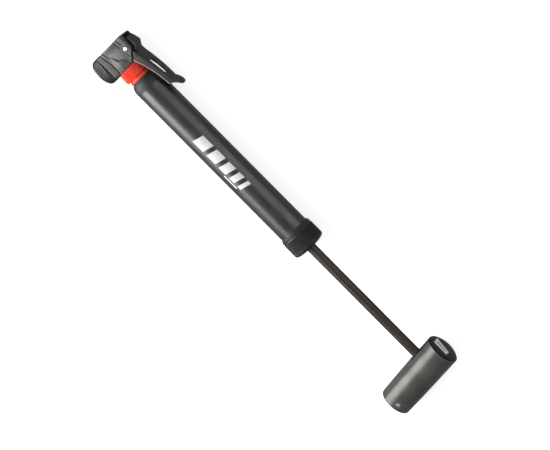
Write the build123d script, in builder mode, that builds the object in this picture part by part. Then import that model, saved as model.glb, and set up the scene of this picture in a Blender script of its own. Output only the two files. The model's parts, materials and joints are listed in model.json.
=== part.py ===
from build123d import *
import os
from math import cos, radians, sin, sqrt

# Hand pump with a lever-lock head. Millimetres.
# +X runs from the handle to the head along the barrel, +Y runs out of the valve mouth, +Z is up.
# The origin is the centre of the valve mouth. "Station" is the distance from the valve axis
# towards the handle, so a point at station d has X = -d. Radii on the barrel line are measured
# from the barrel axis, which lies HEAD_DROP short of the mouth.

# Driving dimensions
BARREL_R = 11.0
BORE_R = 9.75
ROD_R = 3.5
HEAD_DROP = 18.9
HEAD_FRONT = 9.4
HEAD_HALF = 9.2
HEAD_END = 9.9
HEAD_BACK = -13.6
SLOT_HALF = 6.0
PIN_R = 1.65
PIN_RISE = -9.95
CHAMBER_R = 6.6
VALVE_R = 4.0
CAP_R = 10.1
COLLAR_R = 10.45
TUBE_START = 29.5
TUBE_END = 175.0
END_CAP_R = 12.46
END_CAP_START = 166.6
END_CAP_END = 183.5
PISTON_AT = 136.5
HANDLE_AT = 296.1
HANDLE_RAKE = 5.0
HANDLE_TOP = -16.0
HANDLE_BASE = 37.2
FIT = 0.02          # gap between pieces that are pressed or screwed together
RUN = 0.06          # radial gap of a running fit
GAP = 0.3           # gap between pieces that move past each other
REACH = 40.0        # a cut or a common solid that only has to be longer than the part there

os.makedirs("parts", exist_ok=True)

# Planes and axes. TURN holds profiles of everything turned about the barrel: x is the station
# and y the radius. SIDE is the same height seen from above, with x = X and y from the barrel axis.
TURN = Plane(origin=(0, -HEAD_DROP, 0), x_dir=(-1, 0, 0), z_dir=(0, 0, 1))
SIDE = Plane(origin=(0, -HEAD_DROP, 0), x_dir=(1, 0, 0), z_dir=(0, 0, 1))
BARREL_AXIS = Axis((0, -HEAD_DROP, 0), (-1, 0, 0))
VALVE_AXIS = Axis((0, 0, 0), (0, 1, 0))

# The handle's own plane: x points radially towards the barrel, y runs down the handle.
RAKE = radians(HANDLE_RAKE)
GRIP = Plane(
    origin=(-HANDLE_AT, -HEAD_DROP, 0), x_dir=(cos(RAKE), sin(RAKE), 0), z_dir=(0, 0, 1)
)
GRIP_AXIS = Axis((-HANDLE_AT, -HEAD_DROP, 0), (-sin(RAKE), cos(RAKE), 0))


def outline(plane, points):
    """A closed face with straight sides on the given plane."""
    with BuildSketch(plane) as shape:
        with BuildLine():
            Polyline(*points, close=True)
        make_face()
    return shape.sketch


def ring(plane, start, end, inner, outer):
    """The half section of a plain ring, from start to end along x and inner to outer in y."""
    return outline(plane, [(start, inner), (start, outer), (end, outer), (end, inner)])


def band(start, end, inner, outer):
    """The half section of a plain ring about the valve axis, start to end along Y."""
    return outline(
        Plane.XY, [(inner, start), (outer, start), (outer, end), (inner, end)]
    )


def grip_ring(start, end, inner, outer):
    """The half section of a plain ring about the handle's axis."""
    return outline(GRIP, [(inner, start), (outer, start), (outer, end), (inner, end)])


def station(distance):
    """The plane square to the barrel at a station, facing the handle."""
    return Plane(origin=(-distance, -HEAD_DROP, 0), x_dir=(0, 1, 0), z_dir=(-1, 0, 0))


def save(builder, label):
    builder.part.label = label
    export_step(builder.part, f"parts/{label}.step")


# ---------------------------------------------------------------- head
NECK_R = 7.0
NECK_END = 17.6
BOSS_R = 10.4
SPIGOT_R = 3.0
SPIGOT_START = 7.6
SLOT_FRONT = 8.0
NOSE_R = 8.6
NOSE_START = 10.7
NOSE_END = 16.6
FEED_X = -8.0
FEED_R = 0.7
CROSS_R = 0.55
FEED_END = 8.2

# The raised boss is the neck's barrel running on into the head, sinking into the flat side.
BOSS_MASK = [
    (-HEAD_END, -8.5), (-7.6, -6.2), (-4.8, -3.9), (-3.1, -1.9), (-2.6, 0.4),
    (2.4, 2.4), (HEAD_FRONT - 1.5, 4.6), (HEAD_FRONT - 1.5, 10.5), (-HEAD_END, 10.5),
]
CHEEK_OUTLINE = [
    (HEAD_FRONT, HEAD_BACK), (-1.4, HEAD_BACK), (-8.9, -6.8), (-HEAD_END, -6.8),
    (-HEAD_END, NOSE_START), (HEAD_FRONT, NOSE_START),
]
# The slot for the lever's hub: deep under the cam, shallow over the neck.
SLOT_OUTLINE = [
    (SLOT_FRONT, -16.0), (SLOT_FRONT, -6.0), (6.4, -3.6), (-5.6, -3.6),
    (-5.6, -6.2), (-HEAD_END - 1.0, -8.4), (-HEAD_END - 1.0, -16.0),
]
# Engraved lines on both flat sides, each through its own points.
GROOVE_WIDTH = 0.6
GROOVE_DEPTH = 0.6
GROOVES = [
    [(8.4, -9.1), (5.6, -9.2), (3.9, -9.7)],
    [(8.4, -6.4), (2.8, -7.0)],
    [(-2.4, -8.0), (-6.0, -8.3)],
    [(8.6, 5.2), (3.3, 3.6), (-2.5, 0.9)],
    [(8.7, 7.6), (4.4, 6.4), (-1.8, 5.5), (-8.6, 5.5)],
]
FRONT_ROUND = 1.6
REAR_ROUND = 2.2
RING_WIDTH = 0.45
RING_DEPTH = 0.3

with BuildPart() as boss:
    with BuildSketch(TURN):
        with BuildLine():
            Polyline(
                (HEAD_END, 0), (HEAD_END, BOSS_R), (3.0, BOSS_R), (-7.9, 9.3), (-7.9, 0), close=True
            )
        make_face()
    revolve(axis=BARREL_AXIS)
    extrude(outline(SIDE, BOSS_MASK), amount=BOSS_R + 1, both=True, mode=Mode.INTERSECT)

with BuildPart() as head_body:
    extrude(outline(SIDE, CHEEK_OUTLINE), amount=HEAD_HALF, both=True)
    # Round the block's long corners, softer towards the barrel, and its back corner.
    fillet(head_body.edges().filter_by(Axis.Y).group_by(Axis.X)[-1], radius=FRONT_ROUND)
    fillet(head_body.edges().filter_by(Axis.Y).group_by(Axis.X)[0], radius=REAR_ROUND)
    front_edges = head_body.edges().filter_by(Axis.Z).group_by(Axis.X)[-1]
    fillet(front_edges.sort_by(Axis.Y)[0], radius=FRONT_ROUND)
    add(boss.part)
    # Neck that carries the collar, and the nose that the valve cap screws on.
    revolve(ring(TURN, HEAD_END, NECK_END, 0, NECK_R), axis=BARREL_AXIS)
    revolve(
        band(NOSE_START - HEAD_DROP, NOSE_END - HEAD_DROP, 0, NOSE_R), axis=VALVE_AXIS
    )
    extrude(outline(SIDE, SLOT_OUTLINE), amount=SLOT_HALF, both=True, mode=Mode.SUBTRACT)
    revolve(
        band(-3.7 - HEAD_DROP, NOSE_END - HEAD_DROP + 1, 0, CHAMBER_R),
        axis=VALVE_AXIS, mode=Mode.SUBTRACT,
    )
    revolve(
        ring(TURN, SPIGOT_START, NECK_END + 1, 0, SPIGOT_R + FIT),
        axis=BARREL_AXIS, mode=Mode.SUBTRACT,
    )
    # Feed passage from the spigot down beside the chamber and into it.
    with Locations(Plane(origin=(FEED_X, -HEAD_DROP, 0), z_dir=(0, 1, 0))):
        Cylinder(FEED_R, FEED_END + 1, align=(Align.CENTER, Align.CENTER, Align.MIN),
                 mode=Mode.SUBTRACT)
    with Locations(Plane(origin=(FEED_X, FEED_END - HEAD_DROP, 0), z_dir=(1, 0, 0))):
        Cylinder(CROSS_R, 4.0, align=(Align.CENTER, Align.CENTER, Align.MIN), mode=Mode.SUBTRACT)
    with Locations((0, PIN_RISE - HEAD_DROP, 0)):
        Cylinder(PIN_R + FIT, 3 * HEAD_HALF, mode=Mode.SUBTRACT)
    for side in (1, -1):
        face_plane = SIDE.offset(side * HEAD_HALF)
        with BuildSketch(face_plane):
            for points in GROOVES:
                with BuildLine() as stroke:
                    Polyline(*points)
                trace(stroke.line, line_width=GROOVE_WIDTH)
        extrude(amount=-side * GROOVE_DEPTH, mode=Mode.SUBTRACT)
        # A shallow ring round the pin.
        with BuildSketch(face_plane):
            with Locations((0, PIN_RISE)):
                Circle(PIN_R + RING_WIDTH)
        extrude(amount=-side * RING_DEPTH, mode=Mode.SUBTRACT)
save(head_body, "head_body")

with BuildPart() as lever_pin:
    with BuildSketch(Plane.XY.offset(-HEAD_HALF - 0.3)):
        with Locations((0, PIN_RISE - HEAD_DROP)):
            Circle(PIN_R)
    extrude(amount=2 * HEAD_HALF + 0.6)
    fillet(lever_pin.edges(), radius=0.35)
save(lever_pin, "lever_pin")

# ---------------------------------------------------------------- lever
# Side view points are (X, distance from the barrel axis along Y). The heel is where the arm's
# slanting front face meets its top plate, and the rim is the lower edge of its two side walls.
HUB_HALF = 5.7
CAM_R = 4.6
CAM_THROW = 1.0     # the cam's centre sits this far from the pin along X and along -Y
CHANNEL_WALL = 1.5
HUB_OUTLINE = [
    (5.3, -11.0), (5.3, -15.0), (-1.3, -16.8), (-7.2, -12.7), (-10.5, -12.95), (-10.5, -11.9),
    (-5.0, -10.4), (-3.4, -9.6),
]
TOP_PLATE = 1.1
ARM_HALF = 9.2
ARM_HEEL = (-4.7, -12.55)
ARM_FRONT = (-9.1, -8.1)
PLATE_START = (-8.6, -12.75)
PLATE_MIDDLE = (-21.0, -14.95)
PLATE_END = (-35.3, -16.6)
RIM_END = (-36.0, -12.95)
CHANNEL_START = -7.8
CHANNEL_END = -36.6
CHANNEL_FLOOR = -6.0
WINDOW_AT = -20.8
WINDOW_LENGTH = 10.0
WINDOW_WIDTH = 6.6
RECESS_AT = -23.5
RECESS_LENGTH = 15.4
RECESS_DEPTH = 0.5
TOP = Plane.XZ.offset(HEAD_DROP)      # looking along Y, sketch x = X and y = Z


def arm_plan(inset):
    """The arm's plan shape, drawn in by an inset all round."""
    with BuildSketch(TOP) as shape:
        with BuildLine():
            Polyline((-4.0, 0), (-4.0, ARM_HALF), (-11.0, ARM_HALF))
            ThreePointArc((-11.0, ARM_HALF), (-26.0, 7.65), (-40.6, 4.85))
            ThreePointArc((-40.6, 4.85), (-42.9, 3.2), (-43.8, 0))
            mirror(about=Plane.XZ)
        make_face()
        offset(amount=-inset)
    return shape.sketch


# The hollow under the arm's top plate, open towards the barrel.
with BuildPart() as channel:
    with BuildSketch(SIDE):
        with BuildLine():
            ThreePointArc(
                (CHANNEL_START, PLATE_START[1] + TOP_PLATE),
                (PLATE_MIDDLE[0], PLATE_MIDDLE[1] + TOP_PLATE),
                (PLATE_END[0], PLATE_END[1] + TOP_PLATE),
            )
            Polyline(
                (PLATE_END[0], PLATE_END[1] + TOP_PLATE), (CHANNEL_END, -14.6), (CHANNEL_END, CHANNEL_FLOOR),
                (CHANNEL_START, CHANNEL_FLOOR), (CHANNEL_START, PLATE_START[1] + TOP_PLATE),
            )
        make_face()
    extrude(amount=HEAD_HALF, both=True)
    extrude(arm_plan(CHANNEL_WALL), amount=REACH, both=True, mode=Mode.INTERSECT)

with BuildPart() as lever:
    with BuildSketch(SIDE):
        with BuildLine():
            Polyline(ARM_FRONT, ARM_HEEL, PLATE_START)
            ThreePointArc(PLATE_START, PLATE_MIDDLE, PLATE_END)
            ThreePointArc(PLATE_END, (-38.3, -18.5), (-43.0, -19.9))
            ThreePointArc((-43.0, -19.9), (-43.75, -19.6), (-43.5, -19.0))
            ThreePointArc((-43.5, -19.0), (-40.4, -17.3), (-38.2, -14.6))
            ThreePointArc((-38.2, -14.6), (-37.3, -13.4), RIM_END)
            ThreePointArc(RIM_END, (-22.7, -11.95), (-10.0, -8.1))
            Line((-10.0, -8.1), ARM_FRONT)
        make_face()
    extrude(amount=ARM_HALF, both=True)
    extrude(arm_plan(0), amount=REACH, both=True, mode=Mode.INTERSECT)
    add(channel.part, mode=Mode.SUBTRACT)
    extrude(outline(SIDE, HUB_OUTLINE), amount=HUB_HALF, both=True)
    with Locations((CAM_THROW, PIN_RISE - CAM_THROW - HEAD_DROP, 0)):
        Cylinder(CAM_R, 2 * HUB_HALF)
    with Locations((0, PIN_RISE - HEAD_DROP, 0)):
        Cylinder(PIN_R + RUN, 3 * HEAD_HALF, mode=Mode.SUBTRACT)
    # A window through the top plate, at the hub's end of a long shallow recess.
    with BuildSketch(TOP):
        with Locations((WINDOW_AT, 0)):
            SlotOverall(WINDOW_LENGTH, WINDOW_WIDTH)
    extrude(amount=REACH, mode=Mode.SUBTRACT, both=True)
    with BuildSketch(TOP.offset(-PLATE_MIDDLE[1] - RECESS_DEPTH)):
        with Locations((RECESS_AT, 0)):
            SlotOverall(RECESS_LENGTH, WINDOW_WIDTH)
    extrude(amount=REACH, mode=Mode.SUBTRACT)
save(lever, "lever")

# ---------------------------------------------------------------- valve parts
MOUTH_LIP = 1.8
CAP_GAP = 0.6
LIP_HOLE_R = 5.15
GROMMET_LENGTH = 9.0
PUSHER_R = 6.3

with BuildPart() as valve_cap:
    with BuildSketch(Plane.XY):
        with BuildLine():
            Polyline(
                (LIP_HOLE_R, 0), (CAP_R - 1.3, 0), (CAP_R - 0.4, -0.4), (CAP_R, -1.3),
                (CAP_R, NOSE_START - HEAD_DROP + CAP_GAP), (NOSE_R + 0.35, NOSE_START - HEAD_DROP + CAP_GAP),
                (NOSE_R + 0.35, -MOUTH_LIP), (LIP_HOLE_R, -MOUTH_LIP), close=True,
            )
        make_face()
    revolve(axis=VALVE_AXIS)
save(valve_cap, "valve_cap")

with BuildPart() as valve_grommet:
    with BuildSketch(Plane.XY):
        with BuildLine():
            Polyline(
                (VALVE_R, 0), (LIP_HOLE_R - GAP, 0), (LIP_HOLE_R - GAP, -MOUTH_LIP - GAP),
                (CHAMBER_R - GAP, -MOUTH_LIP - GAP), (CHAMBER_R - GAP, -GROMMET_LENGTH),
                (VALVE_R, -GROMMET_LENGTH), close=True,
            )
        make_face()
    revolve(axis=VALVE_AXIS)
save(valve_grommet, "valve_grommet")

# Heights below are from the barrel axis along Y.
PAD_TOP = PIN_RISE - CAM_THROW + CAM_R + 0.15
PUSHER_BASE = 7.3
with BuildPart() as pusher:
    with BuildSketch(SIDE):
        with BuildLine():
            Polyline(
                (0, PAD_TOP), (4.6, PAD_TOP), (4.6, -0.5), (PUSHER_R, -0.5), (PUSHER_R, 1.0),
                (5.0, 1.0), (5.0, 3.0), (PUSHER_R, 3.0), (PUSHER_R, 4.8), (5.2, 4.8),
                (5.2, PUSHER_BASE), (0, PUSHER_BASE), close=True,
            )
        make_face()
    revolve(axis=VALVE_AXIS)
    with Locations((0, PUSHER_BASE - HEAD_DROP, 0)):
        Box(12, 2.4, 1.2, mode=Mode.SUBTRACT)
        Cylinder(0.8 + FIT, 6.0, rotation=(90, 0, 0), mode=Mode.SUBTRACT)
save(pusher, "pusher")

with BuildPart() as pusher_o_ring:
    with BuildSketch(SIDE):
        with Locations((5.75, 2.0)):
            Circle(0.7)
    revolve(axis=VALVE_AXIS)
save(pusher_o_ring, "pusher_o_ring")

with BuildPart() as valve_depressor:
    with BuildSketch(SIDE):
        with BuildLine():
            Polyline((0, 4.5), (0.8, 4.5), (0.8, 9.0), (0.5, 9.4), (0, 9.4), close=True)
        make_face()
    revolve(axis=VALVE_AXIS)
save(valve_depressor, "valve_depressor")

# ---------------------------------------------------------------- collar and barrel top
COLLAR_START = 10.2
COLLAR_STEP = 18.0
COLLAR_END = 21.1
SHOULDER_START = 21.4
SHOULDER_END = 27.6
SPIGOT_END = 28.2
SEAT_AT = 34.3
PLUG_END = 37.5
SEAT_HOLE_R = 1.4
BALL_R = 2.4

with BuildPart() as lock_collar:
    with BuildSketch(TURN):
        with BuildLine():
            Polyline(
                (COLLAR_START, NECK_R + 0.1), (COLLAR_START, COLLAR_R - 0.3),
                (COLLAR_START + 0.3, COLLAR_R), (COLLAR_STEP - 0.3, COLLAR_R),
                (COLLAR_STEP, COLLAR_R - 0.3), (COLLAR_STEP + 0.1, 8.45), (COLLAR_STEP + 0.8, 8.45),
                (COLLAR_STEP + 1.0, 8.8), (COLLAR_END - 0.2, 8.8), (COLLAR_END, 8.6),
                (COLLAR_END, NECK_R + 0.1), close=True,
            )
        make_face()
    revolve(axis=BARREL_AXIS)
save(lock_collar, "lock_collar")

SPIGOT_GROOVES = (12.0, 24.0)
with BuildPart() as outlet_spigot:
    revolve(ring(TURN, SPIGOT_START, SPIGOT_END, 1.25, SPIGOT_R), axis=BARREL_AXIS)
    for groove in SPIGOT_GROOVES:
        revolve(
            ring(TURN, groove - 0.6, groove + 0.6, 2.15, SPIGOT_R + 1),
            axis=BARREL_AXIS, mode=Mode.SUBTRACT,
        )
save(outlet_spigot, "outlet_spigot")

with BuildPart() as spigot_o_rings:
    for groove in SPIGOT_GROOVES:
        with BuildSketch(TURN):
            with Locations((groove, 2.58)):
                Circle(0.42)
        revolve(axis=BARREL_AXIS)
save(spigot_o_rings, "spigot_o_rings")

with BuildPart() as barrel_top_cap:
    with BuildSketch(TURN):
        with BuildLine():
            ThreePointArc((SHOULDER_START, 9.1), (24.2, 10.55), (SHOULDER_END, BARREL_R))
            Polyline(
                (SHOULDER_END, BARREL_R), (TUBE_START - 0.05, BARREL_R), (TUBE_START - 0.05, BORE_R - FIT),
                (33.0, BORE_R - FIT), (33.0, 8.2), (35.2, 8.2), (35.2, BORE_R - FIT),
                (PLUG_END, BORE_R - FIT), (PLUG_END, 5.02), (SEAT_AT, 5.02), (SEAT_AT, BALL_R + GAP),
                (SPIGOT_END, BALL_R + GAP), (SPIGOT_END, SPIGOT_R + FIT),
                (NECK_END + GAP, SPIGOT_R + FIT), (NECK_END + GAP, NECK_R), (SHOULDER_START, NECK_R),
                (SHOULDER_START, 9.1),
            )
        make_face()
    revolve(axis=BARREL_AXIS)
save(barrel_top_cap, "barrel_top_cap")

with BuildPart() as top_cap_o_ring:
    with BuildSketch(TURN):
        with Locations((34.1, 8.98)):
            Circle(0.74)
    revolve(axis=BARREL_AXIS)
save(top_cap_o_ring, "top_cap_o_ring")

with BuildPart() as check_valve_seat:
    revolve(ring(TURN, SEAT_AT, PLUG_END - 0.3, SEAT_HOLE_R, 5.0), axis=BARREL_AXIS)
save(check_valve_seat, "check_valve_seat")

BALL_AT = SEAT_AT - sqrt(BALL_R**2 - SEAT_HOLE_R**2) - 0.1
with BuildPart() as check_valve_ball:
    with Locations((-BALL_AT, -HEAD_DROP, 0)):
        Sphere(BALL_R)
save(check_valve_ball, "check_valve_ball")

# ---------------------------------------------------------------- barrel and end cap
WEB_AT = TUBE_END + 0.2
WIPER_END = WEB_AT + 2.0
BUSH_R = 4.6

with BuildPart() as barrel_tube:
    revolve(ring(TURN, TUBE_START, TUBE_END, BORE_R, BARREL_R), axis=BARREL_AXIS)
save(barrel_tube, "barrel_tube")

with BuildPart() as barrel_end_cap:
    with BuildSketch(TURN):
        with BuildLine():
            Polyline(
                (WEB_AT, BARREL_R + 0.05), (END_CAP_START, BARREL_R + 0.05), (END_CAP_START, 11.2),
                (169.0, 12.35), (169.6, 12.4), (169.7, 12.1), (170.2, 12.1), (170.4, END_CAP_R),
                (180.6, END_CAP_R), (181.5, 12.1),
            )
            ThreePointArc((181.5, 12.1), (182.1, 11.5), (182.5, 10.6))
            ThreePointArc((182.5, 10.6), (183.2, 7.9), (END_CAP_END, BUSH_R))
            Polyline(
                (END_CAP_END, BUSH_R), (WIPER_END, BUSH_R), (WIPER_END, 5.6), (WEB_AT, 5.6),
                (WEB_AT, BARREL_R + 0.05),
            )
        make_face()
    revolve(axis=BARREL_AXIS)
save(barrel_end_cap, "barrel_end_cap")

with BuildPart() as rod_guide_bush:
    revolve(
        ring(TURN, WIPER_END + FIT, END_CAP_END - 0.2, ROD_R + RUN, BUSH_R - FIT), axis=BARREL_AXIS
    )
save(rod_guide_bush, "rod_guide_bush")

with BuildPart() as rod_wiper:
    with BuildSketch(TURN):
        with BuildLine():
            Polyline(
                (WEB_AT + 0.1, 5.58), (WIPER_END - FIT, 5.58), (WIPER_END - FIT, ROD_R + RUN),
                (WIPER_END - 0.6, ROD_R + RUN), (WEB_AT + 0.7, 4.2), (WEB_AT + 0.1, 4.4), close=True,
            )
        make_face()
    revolve(axis=BARREL_AXIS)
save(rod_wiper, "rod_wiper")

# ---------------------------------------------------------------- plunger
PISTON_LENGTH = 12.0
PISTON_END = PISTON_AT + PISTON_LENGTH
RECESS_END = PISTON_AT + 3.2
SEAL_START = PISTON_AT + 4.6
SEAL_END = SEAL_START + 3.0
ROD_START = PISTON_AT + 9.5
SCREW_R = 2.0
SCREW_HEAD_R = 3.5
SCREW_HEAD = 2.1
SCREW_LENGTH = 12.0
ROD_THREAD = 8.0
ROD_OVERRUN = 5.0     # how far the rod runs on past the handle's axis
CROSS_PIN_R = 1.0
CROSS_PIN_LENGTH = 14.0

with BuildPart() as piston_rod:
    with BuildSketch(station(ROD_START)):
        Circle(ROD_R)
    extrude(amount=HANDLE_AT + ROD_OVERRUN - ROD_START)
    with BuildSketch(station(ROD_START)):
        Circle(SCREW_R + FIT)
    extrude(amount=ROD_THREAD, mode=Mode.SUBTRACT)
    # Cross hole where the rod is pinned into the handle core.
    with Locations((-HANDLE_AT, -HEAD_DROP, 0)):
        Cylinder(CROSS_PIN_R + FIT, 4 * ROD_R, mode=Mode.SUBTRACT)
save(piston_rod, "piston_rod")

with BuildPart() as piston:
    with BuildSketch(TURN):
        with BuildLine():
            Polyline(
                (PISTON_AT, 4.2), (PISTON_AT, 9.0), (PISTON_AT + 0.5, 9.45), (SEAL_START, 9.45),
                (SEAL_START, 7.6), (SEAL_END, 7.6), (SEAL_END, 9.45), (PISTON_END - 2, 9.45),
                (PISTON_END - 2, 7.0), (PISTON_END, 7.0), (PISTON_END, ROD_R + FIT),
                (ROD_START - FIT, ROD_R + FIT), (ROD_START - FIT, SCREW_R + FIT),
                (RECESS_END, SCREW_R + FIT), (RECESS_END, 4.2), close=True,
            )
        make_face()
    revolve(axis=BARREL_AXIS)
save(piston, "piston")

with BuildPart() as piston_seal:
    with BuildSketch(TURN):
        with BuildLine():
            Polyline(
                (SEAL_START + GAP, 7.9), (SEAL_START + GAP, 8.7), (SEAL_START + 1.0, BORE_R - 0.08),
                (SEAL_START + 1.7, BORE_R - 0.08), (SEAL_END - GAP, 8.9), (SEAL_END - GAP, 7.9),
                close=True,
            )
        make_face()
    revolve(axis=BARREL_AXIS)
save(piston_seal, "piston_seal")

WASHER = 0.8
with BuildPart() as piston_washer:
    revolve(ring(TURN, RECESS_END - WASHER, RECESS_END, SCREW_R + FIT, 3.9), axis=BARREL_AXIS)
save(piston_washer, "piston_washer")

with BuildPart() as piston_screw:
    with BuildSketch(station(RECESS_END - WASHER - SCREW_HEAD)):
        Circle(SCREW_HEAD_R)
    extrude(amount=SCREW_HEAD)
    with BuildSketch(station(RECESS_END - WASHER)):
        Circle(SCREW_R)
    extrude(amount=SCREW_LENGTH)
    with BuildSketch(station(RECESS_END - WASHER - SCREW_HEAD)):
        RegularPolygon(1.25, 6)
    extrude(amount=1.5, mode=Mode.SUBTRACT)
save(piston_screw, "piston_screw")

with BuildPart() as rod_bumper:
    revolve(
        ring(TURN, PISTON_END + 0.1, PISTON_END + 3.0, ROD_R + FIT, 7.4), axis=BARREL_AXIS
    )
save(rod_bumper, "rod_bumper")

# ---------------------------------------------------------------- handle
# Heights are along the handle's own axis from the rod's centre line.
SHELL_TOP_R = 12.2
SHELL_BASE_R = 11.35
SHELL_INNER_R = 9.8
SHELL_SLOT = 11.6
SLOT_BASE = 4.4      # how far the slot runs below the rod's centre line
SLOT_CORNER = 3.4
CORE_R = SHELL_INNER_R - FIT
RIB_R = 11.85
CORE_TOP = HANDLE_TOP + 0.1
CORE_BASE = HANDLE_BASE - 2.6
CAP_PLUG_R = 8.2
HANDLE_CAP_R = 11.2
HANDLE_CAP_TOP = HANDLE_TOP - 1.6
CAP_BEVEL = 1.6
CAP_NECK_R = 10.3
PIN_AT = HANDLE_BASE - 4.8
PIN_TURN = 13.0
HANDLE_PIN_R = 1.5
# Looks at the handle from the barrel: x runs down the handle.
SLOT_FACE = Plane(origin=GRIP.origin, x_dir=GRIP.y_dir, z_dir=GRIP.x_dir)
# Where the handle pin crosses the handle, turned a little from the vertical.
PIN_PLACE = Plane(
    origin=GRIP.origin + GRIP.y_dir * PIN_AT, x_dir=GRIP.y_dir, z_dir=(0, 0, 1)
) * Location((0, 0, 0), (-PIN_TURN, 0, 0))


def slot_outline(length, inset):
    """The slot on the barrel side, running up from its rounded base, drawn in by an inset."""
    with BuildSketch(SLOT_FACE) as shape:
        with BuildLine():
            Polyline(
                (SLOT_BASE - length, inset - SHELL_SLOT / 2), (SLOT_BASE - length, SHELL_SLOT / 2 - inset),
                (SLOT_BASE - inset, SHELL_SLOT / 2 - inset), (SLOT_BASE - inset, inset - SHELL_SLOT / 2),
                close=True,
            )
        make_face()
        fillet(shape.vertices().group_by(Axis.Y)[-1], radius=SLOT_CORNER)
    return shape.sketch


with BuildPart() as handle_shell:
    with BuildSketch(GRIP):
        with BuildLine():
            ThreePointArc(
                (SHELL_TOP_R, HANDLE_TOP), (11.95, 10.0), (SHELL_BASE_R, HANDLE_BASE - 1.2)
            )
            ThreePointArc(
                (SHELL_BASE_R, HANDLE_BASE - 1.2), (SHELL_BASE_R - 0.35, HANDLE_BASE - 0.35),
                (SHELL_BASE_R - 1.2, HANDLE_BASE),
            )
            Polyline(
                (SHELL_BASE_R - 1.2, HANDLE_BASE), (SHELL_INNER_R, HANDLE_BASE),
                (SHELL_INNER_R, HANDLE_TOP), (SHELL_TOP_R, HANDLE_TOP),
            )
        make_face()
    revolve(axis=GRIP_AXIS)
    # Slot on the barrel side, from the open top down past the rod.
    extrude(slot_outline(REACH, 0), amount=REACH, mode=Mode.SUBTRACT)
    with Locations(PIN_PLACE):
        Cylinder(HANDLE_PIN_R + FIT, REACH, mode=Mode.SUBTRACT)
save(handle_shell, "handle_shell")

with BuildPart() as handle_core:
    # Rib that fills the shell's slot, nearly flush with the shell.
    extrude(slot_outline(SLOT_BASE - CORE_TOP, 0.05), amount=REACH)
    revolve(grip_ring(CORE_TOP, CORE_BASE, 0, RIB_R), axis=GRIP_AXIS, mode=Mode.INTERSECT)
    revolve(grip_ring(CORE_TOP, CORE_BASE, 0, CORE_R), axis=GRIP_AXIS)
    revolve(grip_ring(CORE_TOP - 1, CORE_TOP + 4.5, 0, CAP_PLUG_R + FIT), axis=GRIP_AXIS,
            mode=Mode.SUBTRACT)
    revolve(grip_ring(12.0, CORE_BASE + 1, 0, 7.6), axis=GRIP_AXIS, mode=Mode.SUBTRACT)
    with BuildSketch(station(HANDLE_AT - 20.0)):
        Circle(ROD_R + FIT)
    extrude(amount=20.0 + ROD_OVERRUN + FIT, mode=Mode.SUBTRACT)
    with Locations((-HANDLE_AT, -HEAD_DROP, 0)):
        Cylinder(CROSS_PIN_R + FIT, CROSS_PIN_LENGTH + 2 * FIT, mode=Mode.SUBTRACT)
    with Locations(PIN_PLACE):
        Cylinder(HANDLE_PIN_R + FIT, REACH, mode=Mode.SUBTRACT)
save(handle_core, "handle_core")

with BuildPart() as rod_cross_pin:
    with Locations((-HANDLE_AT, -HEAD_DROP, 0)):
        Cylinder(CROSS_PIN_R, CROSS_PIN_LENGTH)
save(rod_cross_pin, "rod_cross_pin")

with BuildPart() as handle_pin:
    with Locations(PIN_PLACE):
        Cylinder(HANDLE_PIN_R, 2 * SHELL_BASE_R + 0.4)
    fillet(handle_pin.edges(), radius=0.3)
save(handle_pin, "handle_pin")

with BuildPart() as handle_base_plug:
    revolve(
        grip_ring(CORE_BASE + 0.1, HANDLE_BASE - 0.5, 0, SHELL_INNER_R - FIT), axis=GRIP_AXIS
    )
save(handle_base_plug, "handle_base_plug")

BADGE_LIFT = 0.35
BADGE_OUTLINE = [(7.5, -4.3), (7.5, 4.4), (-4.1, 7.0), (-4.6, 1.6)]
CAP_FACE = Plane(
    origin=GRIP.origin + GRIP.y_dir * HANDLE_CAP_TOP, x_dir=GRIP.x_dir, z_dir=-GRIP.y_dir
)
with BuildPart() as handle_end_cap:
    with BuildSketch(GRIP):
        with BuildLine():
            Polyline(
                (0, HANDLE_CAP_TOP), (HANDLE_CAP_R - CAP_BEVEL, HANDLE_CAP_TOP),
                (HANDLE_CAP_R, HANDLE_CAP_TOP + CAP_BEVEL / 2), (HANDLE_CAP_R, HANDLE_TOP - 0.6),
                (CAP_NECK_R, HANDLE_TOP - 0.6), (CAP_NECK_R, HANDLE_TOP - 0.05),
                (CAP_PLUG_R, HANDLE_TOP - 0.05), (CAP_PLUG_R, CORE_TOP + 4.0), (0, CORE_TOP + 4.0),
                close=True,
            )
        make_face()
    revolve(axis=GRIP_AXIS)
    with BuildSketch(CAP_FACE):
        with BuildLine():
            Polyline(*BADGE_OUTLINE, close=True)
        make_face()
        offset(amount=FIT, kind=Kind.INTERSECTION)
    extrude(amount=-BADGE_LIFT, mode=Mode.SUBTRACT)
save(handle_end_cap, "handle_end_cap")

with BuildPart() as cap_badge:
    with BuildSketch(CAP_FACE.offset(-BADGE_LIFT)):
        with BuildLine():
            Polyline(*BADGE_OUTLINE, close=True)
        make_face()
    extrude(amount=BADGE_LIFT + 0.1)
save(cap_badge, "cap_badge")
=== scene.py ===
import json
import math

import bmesh
import bpy
from mathutils import Matrix, Vector


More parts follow.
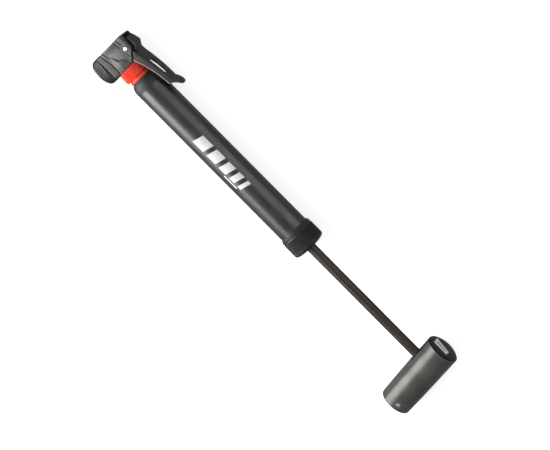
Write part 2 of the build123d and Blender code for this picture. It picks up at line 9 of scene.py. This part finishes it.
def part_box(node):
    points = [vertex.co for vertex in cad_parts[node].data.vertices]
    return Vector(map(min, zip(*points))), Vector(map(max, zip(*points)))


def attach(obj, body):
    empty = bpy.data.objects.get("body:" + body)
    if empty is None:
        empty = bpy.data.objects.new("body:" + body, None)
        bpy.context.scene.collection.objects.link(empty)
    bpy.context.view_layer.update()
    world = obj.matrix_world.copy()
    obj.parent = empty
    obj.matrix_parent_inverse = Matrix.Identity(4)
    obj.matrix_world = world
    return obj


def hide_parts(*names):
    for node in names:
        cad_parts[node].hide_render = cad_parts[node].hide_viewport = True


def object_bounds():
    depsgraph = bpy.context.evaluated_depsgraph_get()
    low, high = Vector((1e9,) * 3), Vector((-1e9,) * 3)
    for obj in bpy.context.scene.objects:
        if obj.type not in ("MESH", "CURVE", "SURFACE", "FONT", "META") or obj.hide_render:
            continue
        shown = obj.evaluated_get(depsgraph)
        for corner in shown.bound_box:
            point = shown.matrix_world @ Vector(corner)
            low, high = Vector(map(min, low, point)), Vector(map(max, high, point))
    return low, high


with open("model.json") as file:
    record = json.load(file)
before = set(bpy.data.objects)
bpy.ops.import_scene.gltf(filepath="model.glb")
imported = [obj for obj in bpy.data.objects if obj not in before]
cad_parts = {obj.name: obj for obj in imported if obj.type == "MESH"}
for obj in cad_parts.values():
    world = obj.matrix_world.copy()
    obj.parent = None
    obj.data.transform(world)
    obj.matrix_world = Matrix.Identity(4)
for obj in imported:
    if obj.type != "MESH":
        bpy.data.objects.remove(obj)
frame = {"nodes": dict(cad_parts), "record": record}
cad_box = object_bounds()

# Metres, in the row's frame: +X runs along the barrel to the head, +Y out of the valve mouth, +Z up.
# A "station" is the distance from the valve axis towards the handle, so X = -station.
MM = 0.001
TUBE_LOW, TUBE_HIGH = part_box("barrel_tube")
AXIS_Y = (TUBE_LOW[1] + TUBE_HIGH[1]) / 2
BARREL_R = (TUBE_HIGH[1] - TUBE_LOW[1]) / 2
FLOOR_Z = cad_box[0][2]


# ---------------------------------------------------------------- camera
# The picture shows the pump's long axis falling to the right, with the mouth turned a little away.
LEAN = 24.0         # degrees that the valve axis is tilted from the picture plane
YAW = 1.0           # degrees that the head end comes nearer than the handle end
ROLL = 134.83       # where +X points in the picture, counterclockwise from the right
VIEW_WIDTH = 0.3735
CAMERA_DISTANCE = 2.2
SENSOR = 36.0
AIM = Vector((-0.1554, AXIS_Y + 0.0075, 0.0))


def make_camera():
    lean, yaw, roll = math.radians(LEAN), math.radians(YAW), math.radians(ROLL)
    back = Vector(
        (math.sin(yaw), -math.cos(yaw) * math.sin(lean), math.cos(yaw) * math.cos(lean))
    )
    along = (Vector((1, 0, 0)) - back * back.x).normalized()
    across = back.cross(along)
    right = along * math.cos(roll) - across * math.sin(roll)
    up = back.cross(right)
    data = bpy.data.cameras.new("camera")
    data.sensor_width = SENSOR
    data.lens = SENSOR * CAMERA_DISTANCE / VIEW_WIDTH
    data.clip_end = 20
    camera = bpy.data.objects.new("camera", data)
    turn = Matrix((right, up, back)).transposed().to_4x4()
    camera.matrix_world = Matrix.Translation(AIM + back * CAMERA_DISTANCE) @ turn
    bpy.context.scene.collection.objects.link(camera)
    bpy.context.scene.camera = camera
    return back


BACK = make_camera()      # the direction from the pump to the camera


# ---------------------------------------------------------------- light and floor
LIGHT_DISTANCE = 0.9


def soft_light(name, direction, size, watts):
    """A rectangular area light that looks at the pump from a direction."""
    data = bpy.data.lights.new(name, "AREA")
    data.shape = "RECTANGLE"
    data.size, data.size_y = size
    data.energy = watts
    lamp = bpy.data.objects.new(name, data)
    lamp.location = AIM + direction.normalized() * LIGHT_DISTANCE
    lamp.rotation_euler = direction.to_track_quat("Z", "Y").to_euler()
    bpy.context.scene.collection.objects.link(lamp)


def toward(along, across, back):
    """A direction from the pump: along its axis to the head, across towards the mouth, to the camera."""
    head = Vector((1, 0, 0))
    return head * along + BACK.cross(head).normalized() * across + BACK * back


def make_light():
    soft_light("key", toward(0.45, 0.88, 0.28), (0.75, 0.75), 13.0)
    soft_light("sheen", toward(0.0, -0.62, 0.75), (0.25, 0.9), 1.5)
    world = bpy.data.worlds.new("studio")
    world.use_nodes = True
    backdrop = world.node_tree.nodes["Background"]
    backdrop.inputs["Color"].default_value = (1, 1, 1, 1)
    backdrop.inputs["Strength"].default_value = 0.30
    bpy.context.scene.world = world
    bpy.context.scene.view_settings.view_transform = "Standard"


def make_floor():
    """A pale sheet that the pump lies on, lit evenly from within so that it stays near white."""
    bm = bmesh.new()
    bmesh.ops.create_grid(bm, x_segments=1, y_segments=1, size=3.0)
    mesh = bpy.data.meshes.new("floor")
    bm.to_mesh(mesh)
    bm.free()
    floor = bpy.data.objects.new("floor", mesh)
    floor.location = (AIM.x, AIM.y, FLOOR_Z - 0.0002)
    bpy.context.scene.collection.objects.link(floor)
    paper = bpy.data.materials.new("floor_paper")
    paper.use_nodes = True
    shader = paper.node_tree.nodes["Principled BSDF"]
    shader.inputs["Base Color"].default_value = (0.9, 0.9, 0.9, 1)
    shader.inputs["Roughness"].default_value = 0.9
    shader.inputs["Emission Color"].default_value = (1, 1, 1, 1)
    shader.inputs["Emission Strength"].default_value = 0.72
    mesh.materials.append(paper)
    floor.visible_glossy = False
    floor.visible_diffuse = False


make_light()
make_floor()


# ---------------------------------------------------------------- materials
class Finish:
    """A node material: a Principled shader with noise-driven colour, roughness and bump."""

    made = {}

    def __init__(self, name, metallic=0.0, **sockets):
        self.material = bpy.data.materials.new(name)
        Finish.made[name] = self.material
        self.material.use_nodes = True
        self.nodes = self.material.node_tree.nodes
        self.links = self.material.node_tree.links
        self.shader = self.nodes["Principled BSDF"]
        self.shader.inputs["Metallic"].default_value = metallic
        for socket, value in sockets.items():
            self.shader.inputs[socket.replace("_", " ")].default_value = value
        self.place = self.nodes.new("ShaderNodeTexCoord").outputs["Object"]
        self.normal = None

    def noise(self, scale, stretch=(1, 1, 1), detail=3.0, roughness=0.55):
        """Noise in the object's own space; scale is features per metre."""
        mapping = self.nodes.new("ShaderNodeMapping")
        mapping.inputs["Scale"].default_value = stretch
        self.links.new(self.place, mapping.inputs["Vector"])
        noise = self.nodes.new("ShaderNodeTexNoise")
        noise.inputs["Scale"].default_value = scale
        noise.inputs["Detail"].default_value = detail
        noise.inputs["Roughness"].default_value = roughness
        self.links.new(mapping.outputs["Vector"], noise.inputs["Vector"])
        return noise.outputs["Fac"]

    def ramp(self, value, low, high, start, stop):
        """Maps start..stop of the value to low..high, numbers or colours."""
        remap = self.nodes.new("ShaderNodeMapRange")
        remap.inputs["From Min"].default_value = start
        remap.inputs["From Max"].default_value = stop
        self.links.new(value, remap.inputs["Value"])
        if not isinstance(low, tuple):
            remap.inputs["To Min"].default_value = low
            remap.inputs["To Max"].default_value = high
            return remap.outputs["Result"]
        mix = self.nodes.new("ShaderNodeMix")
        mix.data_type = "RGBA"
        mix.inputs["A"].default_value = (*low, 1)
        mix.inputs["B"].default_value = (*high, 1)
        self.links.new(remap.outputs["Result"], mix.inputs["Factor"])
        return mix.outputs["Result"]

    def colour(self, low, high, value, start=0.35, stop=0.65):
        self.links.new(self.ramp(value, low, high, start, stop), self.shader.inputs["Base Color"])

    def over_colour(self, tint, value, start, stop, strength=1.0):
        """Lays a second colour over what drives Base Color."""
        socket = self.shader.inputs["Base Color"]
        under = socket.links[0].from_socket
        mix = self.nodes.new("ShaderNodeMix")
        mix.data_type = "RGBA"
        mix.inputs["B"].default_value = (*tint, 1)
        self.links.new(under, mix.inputs["A"])
        self.links.new(self.ramp(value, 0.0, strength, start, stop), mix.inputs["Factor"])
        self.links.new(mix.outputs["Result"], socket)

    def crease_shade(self, tint, reach):
        """Painted shade: darkens the colour towards a tint in creases narrower than a distance in
        metres, from ambient occlusion.
        """
        crease = self.nodes.new("ShaderNodeAmbientOcclusion")
        crease.samples = 8
        crease.inputs["Distance"].default_value = reach
        open_share = self.ramp(crease.outputs["AO"], 0.0, 1.0, 0.55, 0.92)
        socket = self.shader.inputs["Base Color"]
        under = socket.links[0].from_socket
        mix = self.nodes.new("ShaderNodeMix")
        mix.data_type = "RGBA"
        mix.inputs["A"].default_value = (*tint, 1)
        self.links.new(under, mix.inputs["B"])
        self.links.new(open_share, mix.inputs["Factor"])
        self.links.new(mix.outputs["Result"], socket)

    def gloss(self, low, high, value, start=0.3, stop=0.7):
        self.links.new(self.ramp(value, low, high, start, stop), self.shader.inputs["Roughness"])

    def bump(self, value, depth):
        """Raises the surface by depth metres where the value is 1."""
        bump = self.nodes.new("ShaderNodeBump")
        bump.inputs["Strength"].default_value = 1.0
        bump.inputs["Distance"].default_value = depth
        self.links.new(value, bump.inputs["Height"])
        if self.normal is not None:
            self.links.new(self.normal, bump.inputs["Normal"])
        self.normal = bump.outputs["Normal"]
        self.links.new(self.normal, self.shader.inputs["Normal"])

    def scuffs(self, tint, scale, stretch, start, stop, strength):
        """Fine rubbed streaks, where stretched noise is at its highest."""
        streaks = self.noise(scale, stretch=stretch, detail=6.0, roughness=0.7)
        self.over_colour(tint, streaks, start, stop, strength)


def moulded_plastic(
    name, dark, light, rough, grain=0.00002, worn=(0.16, 0.16, 0.155), painted_shade=1.2 * MM
):
    """Injection-moulded plastic: spark texture, handling marks, and painted shade in creases up to a
    width.
    """
    finish = Finish(name)
    grain_noise = finish.noise(6500, detail=2)
    cloud = finish.noise(160, detail=4)
    finish.colour(dark, light, cloud)
    finish.scuffs(worn, 260, (1, 3, 1), 0.66, 0.80, 0.5)
    # Painted shade: the colour darkens towards a twelfth of the dark tone in creases up to this reach.
    if painted_shade:
        finish.crease_shade([0.12 * part for part in dark], painted_shade)
    finish.gloss(rough - 0.05, rough + 0.07, cloud)
    finish.bump(grain_noise, grain)


def groove_shade_finish():
    """Dull black painted shade, laid as thin sheets in engraved lines."""
    painted_shade = Finish("groove_shade", Specular_IOR_Level=0.0)
    painted_shade.colour((0.002, 0.002, 0.002), (0.006, 0.006, 0.005), painted_shade.noise(1500))
    painted_shade.gloss(0.85, 0.98, painted_shade.noise(900))
    painted_shade.bump(painted_shade.noise(5000), 0.00002)


def rubber_finish():
    rubber = Finish("rubber")
    rubber.colour((0.012, 0.012, 0.012), (0.022, 0.022, 0.022), rubber.noise(400))
    rubber.gloss(0.6, 0.75, rubber.noise(900))
    rubber.bump(rubber.noise(5000), 0.00002)


def anodised_barrel():
    """Fine-blasted black anodising with faint drawing lines and light rub marks."""
    barrel = Finish("barrel_anodised", Specular_IOR_Level=0.85)
    cloud = barrel.noise(90, detail=5)
    barrel.colour((0.016, 0.016, 0.018), (0.024, 0.024, 0.026), cloud)
    barrel.scuffs((0.11, 0.11, 0.112), 420, (0.10, 1, 1), 0.66, 0.78, 0.45)
    barrel.gloss(0.31, 0.40, cloud)
    barrel.bump(barrel.noise(9000, detail=2), 0.000008)
    barrel.bump(barrel.noise(2200, stretch=(0.03, 1, 1), detail=4), 0.000006)


def coated_rod():
    """Dark brown-black coating, worn in long lines where the guide bush runs."""
    rod = Finish("rod_coated")
    drawn = rod.noise(1500, stretch=(0.02, 1, 1), detail=5)
    speckle = rod.noise(1300, stretch=(0.5, 1, 1), detail=4)
    rod.colour((0.004, 0.004, 0.004), (0.050, 0.038, 0.028), drawn, 0.4, 0.6)
    rod.over_colour((0.16, 0.095, 0.045), speckle, 0.58, 0.70, 0.7)
    rod.gloss(0.30, 0.5, drawn)
    rod.bump(drawn, 0.00003)
    rod.bump(speckle, 0.00001)


def satin_handle():
    """Gunmetal-plated tube, satin, with soft smudges from the palm."""
    grip = Finish("handle_satin", metallic=0.3, Specular_IOR_Level=0.3)
    turned = grip.noise(2500, stretch=(1, 0.02, 1), detail=4)
    cloud = grip.noise(70, detail=5)
    grip.colour((0.088, 0.086, 0.080), (0.125, 0.121, 0.112), cloud)
    grip.scuffs((0.32, 0.31, 0.29), 300, (1, 0.3, 1), 0.66, 0.8, 0.35)
    grip.gloss(0.22, 0.32, grip.noise(120, detail=6))
    grip.bump(turned, 0.000004)
    grip.bump(grip.noise(7000, detail=2), 0.000004)


def metal(name, dark, light, smooth, rough, scale=900, metallic=1.0):
    """Bare turned or brushed metal."""
    finish = Finish(name, metallic=metallic)
    finish.colour(dark, light, finish.noise(scale))
    finish.gloss(smooth, rough, finish.noise(1.6 * scale))
    finish.bump(finish.noise(4 * scale), 0.000003)


def print_ink():
    ink = Finish("white_print")
    ink.colour((0.76, 0.76, 0.75), (0.84, 0.84, 0.83), ink.noise(700))
    ink.scuffs((0.35, 0.35, 0.35), 900, (0.2, 1, 1), 0.68, 0.82, 0.5)
    ink.gloss(0.38, 0.5, ink.noise(2000))
    ink.bump(ink.noise(7000), 0.000004)


def make_materials():
    moulded_plastic("head_plastic", (0.062, 0.062, 0.058), (0.082, 0.082, 0.077), 0.40)
    moulded_plastic("lever_plastic", (0.014, 0.013, 0.013), (0.022, 0.021, 0.020), 0.44)
    # A light grey that paints a highlight on the lever's lower rim.
    moulded_plastic("rim_highlight", (0.20, 0.19, 0.18), (0.30, 0.29, 0.275), 0.38, painted_shade=0)
    moulded_plastic("cap_plastic", (0.030, 0.030, 0.030), (0.042, 0.041, 0.040), 0.42)
    moulded_plastic("end_cap_plastic", (0.017, 0.017, 0.016), (0.028, 0.026, 0.024), 0.46)
    moulded_plastic("top_cap_plastic", (0.018, 0.018, 0.019), (0.028, 0.028, 0.028), 0.50)
    moulded_plastic("core_plastic", (0.008, 0.008, 0.009), (0.014, 0.014, 0.014), 0.45)
    moulded_plastic(
        "red_plastic", (0.84, 0.038, 0.010), (0.95, 0.060, 0.016), 0.38, 0.00001, (0.95, 0.2, 0.1), 0
    )
    moulded_plastic(
        "white_plastic", (0.60, 0.58, 0.53), (0.70, 0.68, 0.63), 0.45, worn=(0.45, 0.43, 0.38)
    )
    groove_shade_finish()
    rubber_finish()
    anodised_barrel()
    coated_rod()
    satin_handle()
    metal("bright_steel", (0.72, 0.72, 0.72), (0.82, 0.82, 0.82), 0.18, 0.3)
    metal("badge_satin", (0.92, 0.92, 0.92), (0.97, 0.97, 0.97), 0.30, 0.45, 1500, 0.0)
    metal("turned_brass", (0.62, 0.43, 0.18), (0.72, 0.52, 0.24), 0.2, 0.35, 600)
    print_ink()
    return Finish.made


MATERIALS = make_materials()

NODE_FINISH = {
    "head_body": "head_plastic", "lever": "lever_plastic", "valve_cap": "cap_plastic",
    "barrel_top_cap": "top_cap_plastic", "barrel_end_cap": "end_cap_plastic",
    "handle_core": "core_plastic",
    "handle_end_cap": "core_plastic", "handle_base_plug": "core_plastic", "lock_collar": "red_plastic",
    "lever_pin": "bright_steel", "handle_pin": "bright_steel", "rod_cross_pin": "bright_steel",
    "piston_screw": "bright_steel", "piston_washer": "bright_steel", "cap_badge": "badge_satin",
    "outlet_spigot": "turned_brass", "check_valve_seat": "turned_brass",
    "valve_depressor": "turned_brass",
    "valve_grommet": "rubber", "pusher_o_ring": "rubber", "spigot_o_rings": "rubber",
    "top_cap_o_ring": "rubber", "check_valve_ball": "rubber", "piston_seal": "rubber",
    "rod_wiper": "rubber", "rod_bumper": "rubber", "pusher": "white_plastic", "piston": "white_plastic",
    "rod_guide_bush": "white_plastic", "barrel_tube": "barrel_anodised", "piston_rod": "rod_coated",
    "handle_shell": "handle_satin",
}


def paint(piece, name):
    piece.data.materials.clear()
    piece.data.materials.append(MATERIALS[name])


for node, finish in NODE_FINISH.items():
    paint(frame["nodes"][node], finish)


# ---------------------------------------------------------------- pieces
def new_piece(name, bm, finish, smooth_below=35.0):
    """Turns a bmesh, in metres in the row's frame, into an object."""
    bmesh.ops.recalc_face_normals(bm, faces=bm.faces)
    mesh = bpy.data.meshes.new(name)
    bm.to_mesh(mesh)
    bm.free()
    piece = bpy.data.objects.new(name, mesh)
    bpy.context.scene.collection.objects.link(piece)
    mesh.shade_smooth()
    mesh.set_sharp_from_angle(angle=math.radians(smooth_below))
    paint(piece, finish)
    return piece


def body_of(node):
    return next(
        body for body, nodes in frame["record"]["behaviour"]["bodies"].items() if node in nodes
    )


def sits_with(piece, node, replace=True):
    """The piece rides with a CAD node's body, and may stand for the node."""
    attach(piece, body_of(node))
    if replace:
        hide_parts(node)


SOFTEN_ABOVE = math.radians(28)     # edges sharper than this are rounded over
FLAT_BELOW = math.radians(0.6)      # faces that meet flatter than this are joined


def cad_copy(node, flat_below=FLAT_BELOW):
    """A bmesh of a CAD node, with its doubled corners merged and its flat faces joined."""
    bm = bmesh.new()
    bm.from_mesh(frame["nodes"][node].data)
    bmesh.ops.remove_doubles(bm, verts=bm.verts, dist=1e-6)
    if flat_below:
        bmesh.ops.dissolve_limit(bm, angle_limit=flat_below, verts=bm.verts, edges=bm.edges)
    bm.normal_update()
    return bm


def softened(node, width, segments=2):
    """The CAD node's own shape with its sharp edges rounded over."""
    piece = new_piece(f"{node}_soft", cad_copy(node), NODE_FINISH[node])
    bevel = piece.modifiers.new("round_over", "BEVEL")
    bevel.width = width
    bevel.segments = segments
    bevel.limit_method = "ANGLE"
    bevel.angle_limit = SOFTEN_ABOVE
    bevel.harden_normals = True
    bevel.use_clamp_overlap = True
    sits_with(piece, node)


def on_barrel(station, radius, angle):
    """A point by station, radius and angle about the barrel, from +Z towards the lever; millimetres."""
    return Vector(
        (-station * MM, AXIS_Y - radius * MM * math.sin(angle), radius * MM * math.cos(angle))
    )


def on_valve(height, radius, angle):
    """A point by height along the valve axis, radius and angle; millimetres."""
    return Vector((radius * MM * math.cos(angle), height * MM, radius * MM * math.sin(angle)))


def turned(name, node, place, profile, sides, relief):
    """A closed turned shape. Profile rows are (along, radius, share of the relief)."""
    bm = bmesh.new()
    rings = []
    for along, radius, share in profile:
        ring = []
        for side in range(sides):
            angle = 2 * math.pi * side / sides
            lift = share * relief(along, angle) if share else 0.0
            ring.append(bm.verts.new(place(along, radius + lift, angle)))
        rings.append(ring)
    for ring, following in zip(rings, rings[1:] + rings[:1]):
        for side in range(sides):
            after = (side + 1) % sides
            bm.faces.new((ring[side], ring[after], following[after], following[side]))
    sits_with(new_piece(name, bm, NODE_FINISH[node]), node)


def rows(start, stop, count, radius):
    """Evenly spaced profile rows that carry the whole relief."""
    step = (stop - start) / (count - 1)
    return [(start + step * row, radius, 1.0) for row in range(count)]


def ribs(count, height):
    """Rounded ribs side by side; height is from groove to crest."""
    def lift(along, angle):
        return height * (0.5 * math.cos(count * angle) - 0.2)
    return lift


def knurl(count, radius, depth):
    """Diamond knurling: two sets of crossing helical grooves."""
    pitch = 2 * math.pi * radius / count

    def lift(along, angle):
        around = count * angle / (2 * math.pi)
        rising = abs(math.sin(math.pi * (along / pitch + around)))
        falling = abs(math.sin(math.pi * (along / pitch - around)))
        return depth * (min(1.0, 1.7 * rising) * min(1.0, 1.7 * falling) - 0.8)
    return lift


# ---- lock collar: grip ribs, a step, and a plain band behind it
COLLAR_R = 10.45
turned(
    "lock_collar_ribbed", "lock_collar", on_barrel,
    [
        (10.2, 7.1, 0), (10.2, 10.05, 0), (10.32, 10.3, 0), (10.6, COLLAR_R, 0.2),
        (10.9, COLLAR_R, 1), (17.2, COLLAR_R, 1), (17.5, COLLAR_R, 0.2), (17.85, 10.32, 0),
        (18.0, 10.05, 0), (18.05, 8.6, 0), (18.2, 8.45, 0), (18.75, 8.45, 0), (18.9, 8.62, 0),
        (19.15, 8.8, 0), (20.75, 8.8, 0), (21.0, 8.7, 0), (21.1, 8.45, 0), (21.1, 7.1, 0),
    ],
    720, ribs(60, 0.55),
)

# ---- valve cap: fine ribs between a plain rim and the rounded mouth
CAP_R = 10.1
turned(
    "valve_cap_ribbed", "valve_cap", on_valve,
    [
        (0.0, 5.15, 0), (0.0, 8.4, 0), (-0.08, 8.9, 0), (-0.4, 9.55, 0), (-0.85, 9.92, 0),
        (-1.4, CAP_R, 0), (-1.8, CAP_R, 0.2), (-2.1, CAP_R, 1), (-6.2, CAP_R, 1),
        (-6.5, CAP_R, 0.2), (-6.8, CAP_R, 0), (-7.35, CAP_R, 0), (-7.6, 9.85, 0), (-7.6, 8.95, 0),
        (-1.8, 8.95, 0), (-1.8, 5.15, 0),
    ],
    576, ribs(72, 0.24),
)

# ---- barrel end cap: flare, two bright-edged rings, knurled grip and domed end
END_CAP_R = 12.42
turned(
    "barrel_end_cap_knurled", "barrel_end_cap", on_barrel,
    [
        (175.2, 11.05, 0), (166.6, 11.05, 0), (166.6, 11.3, 0), (166.9, 11.5, 0), (167.9, 12.05, 0),
        (168.2, 12.32, 0), (168.55, 12.42, 0), (168.9, 12.3, 0), (169.1, 12.12, 0), (169.45, 12.05, 0),
        (169.8, 12.12, 0), (170.0, 12.3, 0), (170.3, 12.44, 0), (170.6, END_CAP_R, 0),
    ]
    + rows(170.8, 180.2, 66, END_CAP_R)
    + [
        (180.5, END_CAP_R, 0), (180.9, 12.36, 0), (181.5, 12.1, 0), (181.9, 11.78, 0),
        (182.2, 11.3, 0), (182.5, 10.6, 0), (182.85, 9.4, 0), (183.15, 7.9, 0), (183.4, 6.2, 0),
        (183.5, 4.6, 0), (177.2, 4.6, 0), (177.2, 5.6, 0), (175.2, 5.6, 0),
    ],
    432, knurl(72, END_CAP_R, 0.34),
)

# ---- the rest of what shows keeps its CAD shape, with softened edges
softened("head_body", 0.16 * MM)
softened("lever", 0.4 * MM, segments=3)
softened("handle_shell", 0.22 * MM)
softened("handle_end_cap", 0.15 * MM)
softened("cap_badge", 0.12 * MM)
softened("lever_pin", 0.12 * MM)
softened("handle_pin", 0.12 * MM)


# ---- a painted highlight along the lower edge of the lever's side walls
def lever_rim_highlight(height, proud):
    """A thin light-grey lip, a painted highlight, along the wall's lower edge, found on the CAD mesh
    where wall and rim meet.
    """
    cad = cad_copy("lever", flat_below=None)
    bm = bmesh.new()
    made = {}

    def corner(co, out, up):
        key = (round(co.x, 6), round(co.z, 6), up)
        if key not in made:
            made[key] = bm.verts.new(co + Vector((0, -height if up else 0.0, out * proud)))
        return made[key]

    for edge in cad.edges:
        if len(edge.link_faces) != 2:
            continue
        walls = [face for face in edge.link_faces if abs(face.normal.z) > 0.7]
        rims = [face for face in edge.link_faces if face.normal.y > 0.6 and face.normal.x < 0.3]
        if len(walls) != 1 or len(rims) != 1:
            continue
        out = 1 if walls[0].normal.z > 0 else -1
        first, second = (vert.co for vert in edge.verts)
        on_outside = out * (first.z + second.z) > 0
        if not on_outside or (first - second).length < 1e-6:
            continue
        bm.faces.new((
            corner(first, out, False), corner(second, out, False),
            corner(second, out, True), corner(first, out, True),
        ))
    cad.free()
    bmesh.ops.recalc_face_normals(bm, faces=bm.faces)
    bmesh.ops.solidify(bm, geom=bm.faces, thickness=2 * proud)
    sits_with(new_piece("lever_rim_highlight", bm, "rim_highlight", 50.0), "lever", replace=False)


lever_rim_highlight(0.75 * MM, 0.1 * MM)


# ---- painted shade in the engraved lines of the head's flat sides
PIN_PROUD = 0.3 * MM      # the pin's ends stand this far out of the flat sides
GROOVE_DEPTH = 0.6 * MM
SHADE_RISE = 0.42 * MM
SHADE_THICKNESS = 0.05 * MM


def groove_shade():
    """Thin dark sheets of painted shade over the floors of the engraved lines, which the CAD mesh gives.
    """
    bm = cad_copy("head_body")
    floor_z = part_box("lever_pin")[1].z - PIN_PROUD - GROOVE_DEPTH
    others = [
        face for face in bm.faces
        if abs(face.normal.z) < 0.95
        or face.normal.z * face.calc_center_median().z < 0
        or any(abs(abs(vert.co.z) - floor_z) > 0.02 * MM for vert in face.verts)
    ]
    bmesh.ops.delete(bm, geom=others, context="FACES")
    for vert in bm.verts:
        # The sheets of painted shade are lifted off the groove floors towards the flat sides.
        vert.co.z += math.copysign(SHADE_RISE, vert.co.z)
    bmesh.ops.solidify(bm, geom=bm.faces, thickness=SHADE_THICKNESS)
    sits_with(new_piece("head_groove_shade", bm, "groove_shade"), "head_body", replace=False)


groove_shade()


# ---- printed stripes on the barrel, a plain pattern of slanted bars
PRINT_RAISE = 0.04      # how far the ink stands off the tube, in millimetres
PRINT_SINK = 0.06
PRINT_START = 77.0
PRINT_GAP = 3.3
BAR_WIDTHS = (10.0, 8.4, 6.6, 4.8, 3.0)
PRINT_LEAN = 0.26       # how far along the barrel a bar leans per unit of height
PRINT_LOW, PRINT_HIGH = math.radians(-13), math.radians(31)


def printed_bar(bm, start, width, low, high):
    """One slanted bar wrapped on the barrel, as a thin closed shell."""
    radius = BARREL_R / MM
    columns, lines = 4, 12
    middle = (PRINT_LOW + PRINT_HIGH) / 2
    layers = []
    for height in (radius + PRINT_RAISE, radius - PRINT_SINK):
        grid = []
        for line in range(lines + 1):
            angle = low + (high - low) * line / lines
            shift = PRINT_LEAN * radius * (angle - middle)
            grid.append([
                bm.verts.new(on_barrel(start + width * column / columns + shift, height, angle))
                for column in range(columns + 1)
            ])
        layers.append(grid)
    outer, inner = layers
    for line in range(lines):
        for column in range(columns):
            for grid in layers:
                bm.faces.new((
                    grid[line][column], grid[line][column + 1],
                    grid[line + 1][column + 1], grid[line + 1][column],
                ))
    border = [(line, 0) for line in range(lines)] + [(lines, column) for column in range(columns)]
    border += [(line, columns) for line in range(lines, 0, -1)]
    border += [(0, column) for column in range(columns, 0, -1)]
    for (line, column), (next_line, next_column) in zip(border, border[1:] + border[:1]):
        bm.faces.new((
            outer[line][column], outer[next_line][next_column],
            inner[next_line][next_column], inner[line][column],
        ))


def print_barrel():
    bm = bmesh.new()
    start = PRINT_START
    for width in BAR_WIDTHS:
        printed_bar(bm, start, width, PRINT_LOW, PRINT_HIGH)
        start += width + PRINT_GAP
    # A thin line under the last bars.
    printed_bar(bm, 109.0, 12.0, math.radians(-24), math.radians(-19))
    piece = new_piece("barrel_print", bm, "white_print")
    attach(piece, "barrel")


print_barrel()


# ---- the badge's plain hatching
HATCH_LINES = 6
HATCH_PITCH = 1.55 * MM
HATCH_WIDTH = 0.6 * MM
HATCH_LEAN = 0.9 * MM
HATCH_HALF = 1.9 * MM       # half the first line's length; each next one is shorter by the taper
HATCH_TAPER = 0.17 * MM
HATCH_RAISE = 0.03 * MM
HATCH_SINK = 0.04 * MM


def face_frame(node, outward):
    """The centre, normal and long edge direction of a node's largest face on one side."""
    bm = cad_copy(node, flat_below=math.radians(1))
    face = max(
        (face for face in bm.faces if face.normal.dot(outward) > 0.9),
        key=lambda face: face.calc_area(),
    )
    edge = max(face.edges, key=lambda edge: edge.calc_length())
    along = (edge.verts[1].co - edge.verts[0].co).normalized()
    centre, normal = face.calc_center_median(), face.normal.copy()
    bm.free()
    return centre, normal, along


def hatch_badge():
    centre, normal, along = face_frame("cap_badge", Vector((0, -1, 0)))
    if along.x > 0:
        along = -along
    across = normal.cross(along)
    bm = bmesh.new()
    for step in range(HATCH_LINES):
        middle = centre + along * (step - (HATCH_LINES - 1) / 2) * HATCH_PITCH
        half = HATCH_HALF - HATCH_TAPER * step
        corners = []
        for side, edge in ((-1, -0.5), (-1, 0.5), (1, 0.5), (1, -0.5)):
            lengthwise = edge * HATCH_WIDTH + side * HATCH_LEAN / 2
            corners.append(middle + across * side * half + along * lengthwise)
        low = [bm.verts.new(corner - normal * HATCH_SINK) for corner in corners]
        high = [bm.verts.new(corner + normal * HATCH_RAISE) for corner in corners]
        bm.faces.new(low)
        bm.faces.new(high)
        for one in range(4):
            two = (one + 1) % 4
            bm.faces.new((low[one], low[two], high[two], high[one]))
    piece = new_piece("badge_hatching", bm, "core_plastic")
    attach(piece, body_of("cap_badge"))


hatch_badge()
